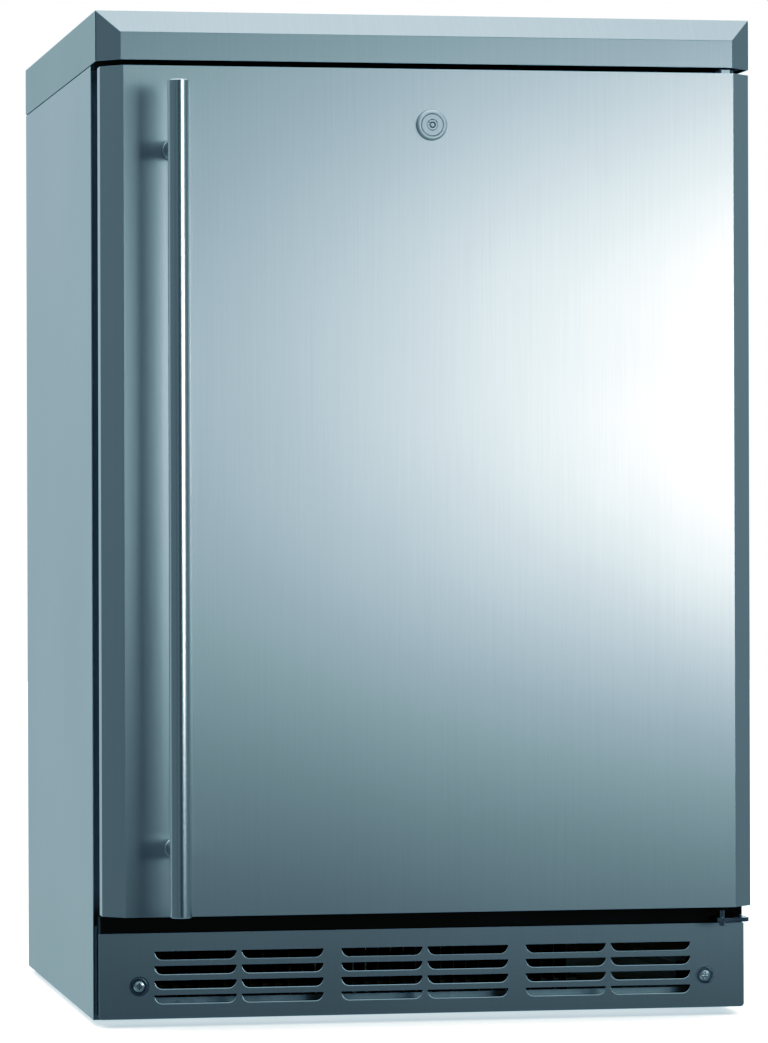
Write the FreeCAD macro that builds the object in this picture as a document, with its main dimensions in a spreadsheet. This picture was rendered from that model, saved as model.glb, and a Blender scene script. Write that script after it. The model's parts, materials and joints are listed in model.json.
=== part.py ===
"""Undercounter refrigerator with a stainless cabinet, worktop and one hinged door, in millimetres.

The origin is on the floor under the middle of the whole object: midway across its width and
midway from the handle at the front to the mains gland at the back. X runs to the right as seen
from the front, Y runs to the back and Z runs up. Depths are measured from the door's front
face: every body sits with its own origin in that plane, at door_front.
"""
import math
import os
import re

import FreeCAD
import Part
import Sketcher

DIMENSIONS = {
    "door_front": "-284.1",
    # Worktop: a folded stainless skin over a board.
    "sheet": "1",
    "worktop_half": "300",
    "worktop_front": "9.1",
    "worktop_back": "612.8",
    "worktop_top": "910",
    "worktop_bottom": "864.6",
    "corner_facet": "20",
    "front_bevel": "20.5",
    "core_bottom": "866.6",
    # Cabinet shell.
    "cabinet_half": "299.6",
    "cabinet_front": "68.9",
    "cabinet_back": "613.9",
    "panel_bottom": "5",
    "panel_return": "18",
    "frame_bottom": "89.9",
    "opening_half": "258.5",
    "opening_floor": "139.5",
    "opening_top": "820.5",
    "foam_bottom": "95",
    "foam_top": "864",
    "machine_front": "425",
    "machine_top": "290",
    # Moulded liner with a step over the compressor.
    "liner_half": "253",
    "liner_wall": "2",
    "liner_floor": "145",
    "liner_ceiling": "815",
    "liner_front": "80",
    "liner_back": "560",
    "step_front": "380",
    "step_top": "335",
    # Base and levelling feet.
    "pan_bottom": "12",
    "pan_rim": "24",
    "foot_reach": "262",
    "foot_front_row": "140",
    "foot_back_row": "570",
    "foot_diameter": "34",
    "stud_diameter": "10",
    "running_gap": "0.08",
    # Kick plate, its black carrier and its louvre slots.
    "kick_half": "297.35",
    "kick_front": "43.9",
    "kick_sheet": "1.2",
    "kick_bottom": "7.6",
    "kick_top": "84.5",
    "kick_corner": "3",
    "slot_width": "74.6",
    "slot_height": "8",
    "slot_round": "7.4",
    "slot_left": "-247.3",
    "slot_top": "68",
    "slot_row_pitch": "13.1",
    "slot_pair_pitch": "79.2",
    "slot_group_pitch": "170.2",
    "kick_screw_reach": "261",
    "kick_screw_height": "37",
    "kick_screw_head": "10.6",
    "kick_cup": "17.8",
    "kick_cup_hole": "16",
    "kick_cup_depth": "2.4",
    "screw_bore": "4",
    "sill_top": "99.5",
    # Door.
    "door_half": "297.3",
    "door_bottom": "102.3",
    "door_top": "858.9",
    "facet_across": "18.7",
    "facet_deep": "19",
    "door_side_back": "37",
    "door_liner_half": "289.3",
    "door_liner_inset": "8",
    "door_liner_back": "46",
    "gasket_half": "276",
    "gasket_width": "16.5",
    "gasket_bottom": "120",
    "gasket_top": "840",
    "gasket_back": "68.4",
    "hinge_x": "271",
    "hinge_y": "21",
    "hinge_pin": "5",
    "hinge_bush": "11",
    "lower_plate_bottom": "87.5",
    "lower_plate_top": "91.2",
    "upper_plate_bottom": "860.3",
    "upper_plate_top": "863.5",
    "hinge_screw_near": "283",
    "hinge_screw_far": "292",
    "hinge_screw_low": "104",
    "hinge_screw_high": "851.5",
    "hinge_screw_grip": "6",
    # Bar handle.
    "handle_x": "-236",
    "handle_y": "-50",
    "handle_diameter": "19.5",
    "handle_bottom": "105.5",
    "handle_top": "842",
    "post_low": "163.9",
    "post_high": "783.4",
    "post_diameter": "17.5",
    # Lock.
    "lock_height": "808.7",
    "bezel_diameter": "27.6",
    "bezel_proud": "3.6",
    "barrel_diameter": "19.6",
    "core_diameter": "9.4",
    "keyway_outer": "5.7",
    "keyway_inner": "3.6",
    "cam_reach": "28",
    "cam_half": "5.5",
    "cam_front": "75",
    "cam_back": "78",
    # Wire shelves and the strips that hold them.
    "shelf_half": "243",
    "shelf_front": "106",
    "shelf_back": "496",
    "shelf_bar": "6",
    "shelf_wire": "4",
    "shelf_low": "400",
    "shelf_mid": "545",
    "shelf_high": "690",
    "strip_front_row": "135",
    "strip_back_row": "455",
    "strip_width": "16",
    "strip_depth": "3",
    # Condensing unit.
    "compressor_x": "-130",
    "compressor_y": "515",
    "compressor_radius": "75",
    "compressor_bottom": "32",
    "compressor_top": "200",
    "condenser_left": "-250",
    "condenser_right": "150",
    "condenser_front": "76",
    "condenser_back": "132",
    "condenser_bottom": "20",
    "condenser_top": "88",
    "fin_sheet": "0.6",
    "tube_diameter": "8",
    "shroud_front": "455",
    "fan_x": "110",
    "fan_z": "104",
    "fan_diameter": "126",
    # Evaporator on the rear wall.
    "cooler_half": "190",
    "cooler_bottom": "560",
    "cooler_top": "790",
    "cooler_front": "512",
    "cooler_fan_z": "738",
    "cooler_fan_diameter": "84",
    # Controls and lamp under the ceiling.
    "control_left": "60",
    "control_right": "200",
    "control_front": "150",
    "control_back": "240",
    "control_bottom": "770",
    "dial_x": "165",
    "dial_z": "792",
    "dial_diameter": "30",
    "rocker_x": "98",
    "rocker_tilt": "8",
    "lamp_left": "-160",
    "lamp_right": "-40",
    "lamp_bottom": "795",
}

doc = FreeCAD.newDocument("UndercounterRefrigerator")
sheet = doc.addObject("Spreadsheet::Sheet", "dims")
for row, (word, size) in enumerate(DIMENSIONS.items(), start=1):
    sheet.set(f"A{row}", word)
    sheet.set(f"B{row}", size)
    sheet.setAlias(f"B{row}", word)
doc.recompute()

SKETCH_PLANE = {"X": "YZ_Plane", "Y": "XZ_Plane", "Z": "XY_Plane"}
nodes = {}


def in_sheet(formula):
    """Formula in plain dimension words, turned into one that points at the sheet."""
    return re.sub(r"[a-z_]+", lambda found: "dims." + found.group()
                  if found.group() in DIMENSIONS else found.group(), str(formula))


def number(formula):
    """Value of a formula in millimetres."""
    return float(sheet.evalExpression(in_sheet(formula)))


def bind(target, name, formula):
    """Tie a property to the sheet."""
    target.setExpression(name, in_sheet(formula))


def new_body(name):
    """Body whose own origin is midway across, on the floor, in the plane of the door's face."""
    body = doc.addObject("PartDesign::Body", name)
    bind(body, "Placement.Base.y", "door_front")
    return body


def node(name, built):
    """Keep an object as one named sub-part."""
    built.Label = name
    nodes[name] = built
    return built


def place(body, x, y, z, tilt=0):
    """Put a body at a point behind the door's face, tilted about X."""
    body.clearExpression("Placement.Base.y")
    bind(body, "Placement",
         f"placement(vector({x}; door_front + {y}; {z}); vector(1; 0; 0); {tilt})")


def new_sketch(body, name, axis, level):
    """Sketch square to an axis, at a level along it, drawn in the other two axes."""
    sketch = body.newObject("Sketcher::SketchObject", name)
    role = SKETCH_PLANE[axis]
    plane = next(item for item in body.Origin.OriginFeatures if item.Role == role)
    sketch.AttachmentSupport = [(plane, "")]
    sketch.MapMode = "FlatFace"
    # The XZ plane faces the front, so its offset counts against Y.
    sign = "-" if axis == "Y" else ""
    bind(sketch, "AttachmentOffset.Base.z", f"{sign}({level})")
    return sketch


def pin_point(sketch, geometry, end, x, y):
    """Hold one point of a sketch at two formulas."""
    for kind, formula in (("DistanceX", x), ("DistanceY", y)):
        index = sketch.addConstraint(
            Sketcher.Constraint(kind, -1, 1, geometry, end, number(formula)))
        bind(sketch, f"Constraints[{index}]", formula)


def polygon(*corners):
    """Closed outline through corners given as formulas."""
    def draw(sketch):
        spots = [FreeCAD.Vector(number(x), number(y), 0) for x, y in corners]
        lines = [sketch.addGeometry(Part.LineSegment(spot, spots[(i + 1) % len(spots)]), False)
                 for i, spot in enumerate(spots)]
        for i, line in enumerate(lines):
            sketch.addConstraint(
                Sketcher.Constraint("Coincident", line, 2, lines[(i + 1) % len(lines)], 1))
            pin_point(sketch, line, 1, *corners[i])
    return draw


def rectangle(x_low, y_low, x_high, y_high):
    return polygon((x_low, y_low), (x_high, y_low), (x_high, y_high), (x_low, y_high))


def circle(x, y, diameter):
    def draw(sketch):
        centre = FreeCAD.Vector(number(x), number(y), 0)
        ring = sketch.addGeometry(
            Part.Circle(centre, FreeCAD.Vector(0, 0, 1), number(diameter) / 2), False)
        pin_point(sketch, ring, 3, x, y)
        index = sketch.addConstraint(Sketcher.Constraint("Diameter", ring, number(diameter)))
        bind(sketch, f"Constraints[{index}]", diameter)
    return draw


def hexagon(x, y, across_corners):
    """Six-sided outline with one corner on the first axis."""
    return polygon(*((f"({x}) + ({across_corners}) / 2 * cos({60 * i})",
                      f"({y}) + ({across_corners}) / 2 * sin({60 * i})") for i in range(6)))


def pad(body, name, axis, start, end, *outlines):
    """Add the outlines as material between two levels along an axis."""
    sketch = new_sketch(body, name + "_outline", axis, end if axis == "Y" else start)
    for draw in outlines:
        draw(sketch)
    feature = body.newObject("PartDesign::Pad", name)
    feature.Profile = sketch
    bind(feature, "Length", f"({end}) - ({start})")
    return feature


def pocket(body, name, axis, start, end, *outlines):
    """Remove the outlines between two levels along an axis."""
    doc.recompute()
    before = body.Shape.Volume
    sketch = new_sketch(body, name + "_outline", axis, start if axis == "Y" else end)
    for draw in outlines:
        draw(sketch)
    feature = body.newObject("PartDesign::Pocket", name)
    feature.Profile = sketch
    feature.Reversed = False
    bind(feature, "Length", f"({end}) - ({start})")
    doc.recompute()
    if not body.Shape.Volume < before:
        raise RuntimeError(f"{name} removed nothing")
    return feature


def turn(body, name, axis, *corners):
    """Revolve a (radius, level) outline about the body's own Y or Z axis."""
    sketch = new_sketch(body, name + "_outline", "Z" if axis == "Y" else "Y", "0")
    polygon(*corners)(sketch)
    feature = body.newObject("PartDesign::Revolution", name)
    feature.Profile = sketch
    feature.ReferenceAxis = (sketch, ["V_Axis"])
    feature.Angle = 360
    return feature


def repeat(body, name, feature, *rows):
    """Repeat a feature in rows given as (sketch axis, pitch formula, count)."""
    steps = []
    pattern = body.newObject("PartDesign::MultiTransform", name)
    pattern.Originals = [feature]
    for i, (direction, pitch, count) in enumerate(rows):
        step = body.newObject("PartDesign::LinearPattern", f"{name}_row{i}")
        step.Direction = (feature.Profile[0], [direction])
        step.Reversed = number(pitch) < 0
        bind(step, "Length", f"abs({pitch}) * {count - 1}")
        step.Occurrences = count
        steps.append(step)
    pattern.Transformations = steps
    body.Tip = pattern
    doc.recompute()
    return pattern


def ring_of(body, name, feature, axis_role, count):
    """Repeat a feature evenly around one of the body's axes."""
    pattern = body.newObject("PartDesign::PolarPattern", name)
    pattern.Originals = [feature]
    axis = next(item for item in body.Origin.OriginFeatures if item.Role == axis_role)
    pattern.Axis = (axis, [""])
    pattern.Angle = 360
    pattern.Occurrences = count
    body.Tip = pattern
    doc.recompute()
    return pattern


def round_edges(body, name, radius, wanted, kind="Fillet"):
    """Round or chamfer every edge of the body that the test accepts."""
    doc.recompute()
    base = body.Tip
    picked = [f"Edge{i}" for i, edge in enumerate(base.Shape.Edges, start=1) if wanted(edge)]
    feature = body.newObject("PartDesign::" + kind, name)
    feature.Base = (base, picked)
    bind(feature, "Radius" if kind == "Fillet" else "Size", radius)
    doc.recompute()
    return feature


def runs_along(edge, axis):
    """True for a straight edge parallel to an axis."""
    if not isinstance(edge.Curve, Part.Line):
        return False
    return abs(abs(getattr(edge.Curve.Direction, axis.lower())) - 1) < 1e-6


def box(name, low, high):
    """Plain block between two corners."""
    body = new_body(name)
    pad(body, name + "_block", "Z", low[2], high[2], rectangle(low[0], low[1], high[0], high[1]))
    return body


def group(name, members):
    """Identical pieces kept together as separate solids."""
    bundle = doc.addObject("Part::Compound", name)
    bundle.Links = members
    return node(name, bundle)


def subtract(name, base, tool):
    cut = doc.addObject("Part::Cut", name)
    cut.Base = base
    cut.Tool = tool
    return cut


def bent_tube(name, corners, bend):
    """Round tube through 3-D corners with rounded bends."""
    spots = [FreeCAD.Vector(*(number(part) for part in corner)) for corner in corners]
    edges = []
    start = spots[0]
    for before, corner, after in zip(spots, spots[1:], spots[2:]):
        inward = (before - corner).normalize()
        outward = (after - corner).normalize()
        half_angle = inward.getAngle(outward) / 2
        setback = bend / math.tan(half_angle)
        middle = (inward + outward).normalize() * (bend / math.sin(half_angle) - bend)
        enter = corner + inward * setback
        leave = corner + outward * setback
        edges.append(Part.LineSegment(start, enter).toShape())
        edges.append(Part.Arc(enter, corner + middle, leave).toShape())
        start = leave
    edges.append(Part.LineSegment(start, spots[-1]).toShape())
    path = Part.Wire(edges)
    profile = Part.Wire(Part.makeCircle(number("tube_diameter") / 2, spots[0], spots[1] - spots[0]))
    tube = doc.addObject("Part::Feature", name)
    tube.Shape = path.makePipeShell([profile], True, False)
    bind(tube, "Placement.Base.y", "door_front")
    return tube


def worktop_block(name, inset, bottom):
    """Worktop solid with faceted corners and a sloped front, shrunk by an inset."""
    body = new_body(name)
    half = f"worktop_half - {inset}"
    front = f"worktop_front + {inset}"
    back = f"worktop_back - {inset}"
    top = f"worktop_top - {inset}"
    pad(body, name + "_slab", "Z", bottom, top, polygon(
        (f"-({half})", back), (f"-({half})", f"{front} + corner_facet"),
        (f"-({half}) + corner_facet", front), (f"{half} - corner_facet", front),
        (half, f"{front} + corner_facet"), (half, back)))
    pocket(body, name + "_slope", "X", f"-({half})", half, polygon(
        (f"{front} - 1", f"{top} - front_bevel * (1 + 1 / corner_facet)"),
        (f"{front} + corner_facet", top),
        (f"{front} + corner_facet", f"{top} + 1"), (f"{front} - 1", f"{top} + 1")))
    return body


def build_worktop():
    outer = worktop_block("worktop_outer", "0", "worktop_bottom")
    hollow = worktop_block("worktop_hollow", "sheet", "worktop_bottom")
    node("worktop_skin", subtract("worktop_skin", outer, hollow))
    node("worktop_core", worktop_block("worktop_core", "sheet", "core_bottom"))
    node("worktop_seal", box("worktop_seal", ("-(cabinet_half - 2)", "cabinet_front - 8", "859.8"),
                             ("hinge_x - 8", "cabinet_front", "core_bottom")))


def build_shell():
    """Side panels, rear sheets and the front frame around the opening."""
    for name, side in (("side_panel_left", "-"), ("side_panel_right", "")):
        body = node(name, new_body(name))
        pad(body, name + "_fold", "Z", "panel_bottom", "worktop_bottom - 0.8", polygon(
            (f"{side}cabinet_half", "cabinet_front"),
            (f"{side}(cabinet_half - sheet)", "cabinet_front"),
            (f"{side}(cabinet_half - sheet)", "cabinet_front + sheet"),
            (f"{side}(cabinet_half - panel_return)", "cabinet_front + sheet"),
            (f"{side}(cabinet_half - panel_return)", "cabinet_front + 2 * sheet"),
            (f"{side}(cabinet_half - sheet)", "cabinet_front + 2 * sheet"),
            (f"{side}(cabinet_half - sheet)", "cabinet_back"),
            (f"{side}cabinet_half", "cabinet_back")))
    pocket(nodes["side_panel_right"], "return_screw_bores", "Y", "cabinet_front + sheet",
           "cabinet_front + 2 * sheet", *hinge_screw_bores("hinge_screw_low", "hinge_screw_high"))
    inside = "cabinet_half - sheet"
    node("back_panel", box("back_panel", (f"-({inside})", "cabinet_back - 2 * sheet", "machine_top"),
                           (inside, "cabinet_back - sheet", "foam_top")))
    grille = node("rear_grille", box(
        "rear_grille", (f"-({inside})", "cabinet_back - 2 * sheet", "pan_rim"),
        (inside, "cabinet_back - sheet", "machine_top")))
    slit = pocket(grille, "rear_slit", "Y", "cabinet_back - 2 * sheet", "cabinet_back - sheet",
                  rectangle("-220", "120", "-120", "126"))
    repeat(grille, "rear_slits", slit, ("H_Axis", "170", 3), ("V_Axis", "16", 9))
    gland_hole = pocket(grille, "gland_hole", "Y", "cabinet_back - 2 * sheet",
                        "cabinet_back - sheet", circle("240", "70", "20"))
    grille.Tip = gland_hole
    frame = node("front_frame", new_body("front_frame"))
    pad(frame, "frame_sheet", "Y", "cabinet_front", "cabinet_front + sheet",
        rectangle(f"-({inside})", "frame_bottom", inside, "core_bottom"),
        rectangle("-opening_half", "opening_floor", "opening_half", "opening_top"))
    pocket(frame, "frame_screw_bores", "Y", "cabinet_front", "cabinet_front + sheet",
           *hinge_screw_bores("hinge_screw_low", "hinge_screw_high"))


def build_insulation():
    """Liner, the thermal break around its mouth and the foam behind both."""
    strip = node("breaker_strip", new_body("breaker_strip"))
    pad(strip, "strip_ring", "Y", "cabinet_front", "liner_front",
        rectangle("-opening_half", "opening_floor", "opening_half", "opening_top"),
        rectangle("-liner_half", "liner_floor", "liner_half", "liner_ceiling"))

    def stepped(grow, front):
        """Side outline of the liner, grown outwards."""
        return polygon((front, f"liner_ceiling + {grow}"),
                       (f"liner_back + {grow}", f"liner_ceiling + {grow}"),
                       (f"liner_back + {grow}", f"step_top - {grow}"),
                       (f"step_front + {grow}", f"step_top - {grow}"),
                       (f"step_front + {grow}", f"liner_floor - {grow}"),
                       (front, f"liner_floor - {grow}"))

    liner = node("inner_liner", new_body("inner_liner"))
    pad(liner, "liner_outside", "X", "-(liner_half + liner_wall)", "liner_half + liner_wall",
        stepped("liner_wall", "liner_front"))
    pocket(liner, "liner_inside", "X", "-liner_half", "liner_half", stepped("0", "liner_front - 1"))

    foam = node("cabinet_foam", new_body("cabinet_foam"))
    front = "cabinet_front + 2 * sheet"
    back = "cabinet_back - 2 * sheet"
    pad(foam, "foam_block", "X", "-(cabinet_half - sheet)", "cabinet_half - sheet", polygon(
        (front, "foam_bottom"), ("machine_front", "foam_bottom"), ("machine_front", "machine_top"),
        (back, "machine_top"), (back, "foam_top"), (front, "foam_top")))
    pocket(foam, "foam_around_liner", "X", "-(liner_half + liner_wall)", "liner_half + liner_wall",
           stepped("liner_wall", "cabinet_front"))
    pocket(foam, "foam_around_strip", "Y", front, "liner_front",
           rectangle("-opening_half", "opening_floor", "opening_half", "opening_top"))
    pocket(foam, "foam_screw_bores", "Y", front, "cabinet_front + 8",
           *hinge_screw_bores("hinge_screw_low", "hinge_screw_high"))


def foot_spots():
    """Name and place of each levelling foot."""
    for row, y in (("front", "foot_front_row"), ("back", "foot_back_row")):
        for side, sign in (("left", "-"), ("right", "")):
            yield f"foot_{row}_{side}", f"{sign}foot_reach", y


def build_base():
    pan = node("base_pan", box("base_pan", ("-(cabinet_half - sheet)", "cabinet_front + 2 * sheet",
                                            "pan_bottom"),
                               ("cabinet_half - sheet", "cabinet_back - 2 * sheet", "pan_rim")))
    pocket(pan, "pan_hollow", "Z", "pan_bottom + 2", "pan_rim", rectangle(
        "-(cabinet_half - 3 * sheet)", "cabinet_front + 4 * sheet",
        "cabinet_half - 3 * sheet", "cabinet_back - 4 * sheet"))
    bore = "stud_diameter + 2 * running_gap"
    pocket(pan, "stud_holes", "Z", "pan_bottom", "pan_bottom + 2",
           *(circle(x, y, bore) for _, x, y in foot_spots()))
    nuts = []
    for name, x, y in foot_spots():
        nut = new_body(name + "_nut")
        pad(nut, name + "_nut_block", "Z", "0", "8", hexagon("0", "0", "18.5"), circle("0", "0", bore))
        place(nut, x, y, "pan_bottom + 2")
        nuts.append(nut)
        foot = node(name, new_body(name))
        turn(foot, name + "_turned", "Z",
             ("0", "0"), ("foot_diameter / 2 - 1", "0"), ("foot_diameter / 2", "1"),
             ("foot_diameter / 2", "4"), ("foot_diameter / 2 - 4", "6"), ("9", "7"),
             ("stud_diameter / 2", "7"), ("stud_diameter / 2", "40"),
             ("stud_diameter / 2 - 1", "41"), ("0", "41"))
        pad(foot, name + "_flats", "Z", "6", "10.5", hexagon("0", "0", "19"))
        place(foot, x, y, "0")
    group("foot_nuts", nuts)


def slot_outline(sketch):
    """Louvre slot: straight top edge, lower corners swept round."""
    left, top = number("slot_left"), number("slot_top")
    width, height, radius = number("slot_width"), number("slot_height"), number("slot_round")
    right, bottom = left + width, top - height

    def spot(x, y):
        return FreeCAD.Vector(x, y, 0)

    def corner_arc(x, start, end):
        centre = spot(x, bottom + radius)
        return Part.ArcOfCircle(Part.Circle(centre, FreeCAD.Vector(0, 0, 1), radius), start, end)

    shapes = [
        Part.LineSegment(spot(left, top), spot(right, top)),
        Part.LineSegment(spot(right, top), spot(right, bottom + radius)),
        corner_arc(right - radius, 1.5 * math.pi, 2 * math.pi),
        Part.LineSegment(spot(right - radius, bottom), spot(left + radius, bottom)),
        corner_arc(left + radius, math.pi, 1.5 * math.pi),
        Part.LineSegment(spot(left, bottom + radius), spot(left, top)),
    ]
    top_edge, right_edge, right_arc, bottom_edge, left_arc, left_edge = (
        sketch.addGeometry(shape, False) for shape in shapes)
    for first, first_end, second, second_end in (
            (top_edge, 2, right_edge, 1), (top_edge, 1, left_edge, 2)):
        sketch.addConstraint(
            Sketcher.Constraint("Coincident", first, first_end, second, second_end))
    for first, first_end, second, second_end in (
            (right_edge, 2, right_arc, 2), (right_arc, 1, bottom_edge, 1),
            (bottom_edge, 2, left_arc, 2), (left_arc, 1, left_edge, 1)):
        sketch.addConstraint(Sketcher.Constraint("Tangent", first, first_end, second, second_end))
    for edge in (right_edge, left_edge):
        sketch.addConstraint(Sketcher.Constraint("Vertical", edge))
    sketch.addConstraint(Sketcher.Constraint("Equal", right_arc, left_arc))
    index = sketch.addConstraint(Sketcher.Constraint("Radius", left_arc, radius))
    bind(sketch, f"Constraints[{index}]", "slot_round")
    pin_point(sketch, top_edge, 1, "slot_left", "slot_top")
    pin_point(sketch, top_edge, 2, "slot_left + slot_width", "slot_top")
    index = sketch.addConstraint(
        Sketcher.Constraint("DistanceY", -1, 1, left_arc, 3, bottom + radius))
    bind(sketch, f"Constraints[{index}]", "slot_top - slot_height + slot_round")


def cross_screw(name, head, grip):
    """Pan-head screw with a cross recess, head facing the front, seat at its own origin."""
    body = new_body(name)
    turn(body, name + "_turned", "Y",
         ("0", "-2.6"), (f"{head} * 0.24", "-2.5"), (f"{head} * 0.42", "-1.8"),
         (f"{head} / 2", "-0.6"), (f"{head} / 2", "0"), ("2", "0"), ("2", grip), ("0", f"{grip} + 2"))
    pocket(body, name + "_recess", "Y", "-3", "-1.4",
           rectangle("-0.7", f"-({head}) * 0.29", "0.7", f"{head} * 0.29"))
    pocket(body, name + "_recess_across", "Y", "-3", "-1.4",
           rectangle(f"-({head}) * 0.29", "-0.7", f"{head} * 0.29", "0.7"))
    return body


def build_kick():
    """Slotted plate below the door, on a black carrier in front of the cabinet."""
    plate = node("kick_plate", new_body("kick_plate"))
    back = "kick_front + kick_sheet"
    pad(plate, "kick_sheet_pad", "Y", "kick_front", back,
        rectangle("-kick_half", "kick_bottom", "kick_half", "kick_top"))
    round_edges(plate, "kick_corners", "kick_corner", lambda edge: runs_along(edge, "Y")
                and edge.CenterOfMass.z < number("kick_bottom") + 1)
    slot = pocket(plate, "kick_slot", "Y", "kick_front", back, slot_outline)
    repeat(plate, "kick_slots", slot, ("H_Axis", "slot_pair_pitch", 2),
           ("H_Axis", "slot_group_pitch", 3), ("V_Axis", "-slot_row_pitch", 4))
    screw_spots = [(f"{sign}kick_screw_reach", "kick_screw_height") for sign in ("-", "")]
    pocket(plate, "kick_screw_holes", "Y", "kick_front", back,
           *(circle(x, z, "kick_cup_hole") for x, z in screw_spots))

    carrier = node("kick_carrier", new_body("kick_carrier"))
    bays = [("-250", "-89"), ("-81", "81"), ("89", "250")]
    pad(carrier, "carrier_frame", "Y", back, "cabinet_front + sheet",
        rectangle("-(kick_half - 1.4)", "kick_bottom + 2", "kick_half - 1.4", "frame_bottom"),
        *(rectangle(left, "kick_bottom + 9", right, "kick_top - 9") for left, right in bays))
    pad(carrier, "carrier_sill", "Y", back, "cabinet_front",
        rectangle("-(kick_half - 1.4)", "frame_bottom - 1", "kick_half - 1.4", "sill_top"))
    pocket(carrier, "hinge_leaf_slot", "Y", back, "cabinet_front + sheet",
           rectangle("hinge_x - 6", "lower_plate_bottom - 0.3", "kick_half", "lower_plate_top + 0.3"))
    pocket(carrier, "hinge_tab_seat", "Y", "cabinet_front - 2.8", "cabinet_front",
           rectangle("hinge_x - 6", "lower_plate_top", "kick_half", "sill_top + 1"))
    pocket(carrier, "carrier_screw_bores", "Y", back, "cabinet_front + sheet",
           *(circle(x, z, "screw_bore") for x, z in screw_spots))
    pocket(carrier, "carrier_cup_seats", "Y", back, "kick_front + kick_cup_depth",
           *(circle(x, z, "kick_cup_hole") for x, z in screw_spots))
    screws = []
    cups = []
    for side, (x, z) in zip(("left", "right"), screw_spots):
        cup = new_body("kick_cup_" + side)
        turn(cup, f"kick_cup_{side}_turned", "Y",
             ("kick_cup / 2", "-0.4"), ("kick_cup / 2", "0"), ("kick_cup_hole / 2 - 0.1", "0"),
             ("6.4", "kick_cup_depth"), ("2.2", "kick_cup_depth"), ("2.2", "kick_cup_depth - 0.5"),
             ("6", "kick_cup_depth - 0.5"), ("kick_cup_hole / 2 - 0.4", "-0.4"))
        place(cup, x, "kick_front", z)
        cups.append(cup)
        screw = cross_screw("kick_screw_" + side, "kick_screw_head", "12")
        place(screw, x, "kick_front + kick_cup_depth - 0.5", z)
        screws.append(screw)
    group("kick_cups", cups)
    group("kick_screws", screws)


def build_door():
    """Stainless outer skin, foam, moulded liner and magnetic gasket."""
    def plan(inset, back):
        """Door outline from above with faceted front corners, shrunk by an inset."""
        half = f"door_half - {inset}"
        return polygon((f"-({half})", back), (f"-({half})", f"facet_deep + {inset} * 0.41"),
                       (f"-({half}) + facet_across - {inset} * 0.59", inset),
                       (f"{half} - facet_across + {inset} * 0.59", inset),
                       (half, f"facet_deep + {inset} * 0.41"), (half, back))

    hinge_holes = circle("hinge_x", "hinge_y", "hinge_bush")
    bolt_holes = [circle("handle_x", z, "6.4") for z in ("post_low", "post_high")]
    barrel_hole = circle("0", "lock_height", "barrel_diameter")

    skin = node("door_skin", new_body("door_skin"))
    pad(skin, "skin_block", "Z", "door_bottom", "door_top", plan("0", "door_side_back"))
    pocket(skin, "skin_hollow", "Z", "door_bottom + sheet", "door_top - sheet",
           plan("sheet", "door_side_back + 1"))
    pocket(skin, "skin_front_holes", "Y", "-1", "2", barrel_hole, *bolt_holes)
    pocket(skin, "skin_hinge_holes", "Z", "door_bottom - 1", "door_top + 1", hinge_holes)

    flange_front = "door_side_back - 3"
    liner_low = "door_bottom + door_liner_inset"
    liner_high = "door_top - door_liner_inset"
    liner = node("door_liner", new_body("door_liner"))
    pad(liner, "liner_flange", "Y", flange_front, "door_side_back - 1",
        rectangle("-(door_half - sheet)", "door_bottom + sheet", "door_half - sheet",
                  "door_top - sheet"))
    pad(liner, "liner_pan", "Y", "door_side_back - 1", "door_liner_back",
        rectangle("-door_liner_half", liner_low, "door_liner_half", liner_high))
    round_edges(liner, "liner_pan_corners", "6", lambda edge: runs_along(edge, "Y")
                and edge.Length > 5)
    round_edges(liner, "liner_pan_rim", "2",
                lambda edge: abs(edge.BoundBox.YMin - number("door_liner_back")) < 0.01)
    pocket(liner, "liner_pan_hollow", "Y", flange_front, "door_liner_back - 2",
           rectangle("-(door_liner_half - 6)", f"{liner_low} + 6", "door_liner_half - 6",
                     f"{liner_high} - 6"))
    pocket(liner, "liner_barrel_hole", "Y", flange_front, "door_liner_back + 1", barrel_hole)

    foam = node("door_foam", new_body("door_foam"))
    pad(foam, "door_foam_block", "Z", "door_bottom + sheet", "door_top - sheet",
        plan("sheet", flange_front))
    pad(foam, "door_foam_pan", "Y", flange_front, "door_liner_back - 2",
        rectangle("-(door_liner_half - 6)", f"{liner_low} + 6", "door_liner_half - 6",
                  f"{liner_high} - 6"))
    pocket(foam, "foam_barrel_hole", "Y", "0", "door_liner_back", barrel_hole)
    pocket(foam, "foam_bolt_holes", "Y", "0", "25",
           *(circle("handle_x", z, "13") for z in ("post_low", "post_high")))
    for level, start, end in (("low", "door_bottom", "door_bottom + 21"),
                              ("high", "door_top - 21", "door_top")):
        pocket(foam, "foam_hinge_hole_" + level, "Z", start, end, hinge_holes)

    gasket = node("door_gasket", new_body("door_gasket"))
    pad(gasket, "gasket_ring", "Y", "door_liner_back", "gasket_back",
        rectangle("-gasket_half", "gasket_bottom", "gasket_half", "gasket_top"),
        rectangle("-(gasket_half - gasket_width)", "gasket_bottom + gasket_width",
                  "gasket_half - gasket_width", "gasket_top - gasket_width"))
    round_edges(gasket, "gasket_bulb", "5",
                lambda edge: abs(edge.BoundBox.YMin - number("gasket_back")) < 0.01)


def hinge_screw_bores(*heights):
    """Bores for the two hinge screws at each height."""
    return [circle(x, z, "screw_bore") for z in heights
            for x in ("hinge_screw_near", "hinge_screw_far")]


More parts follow.
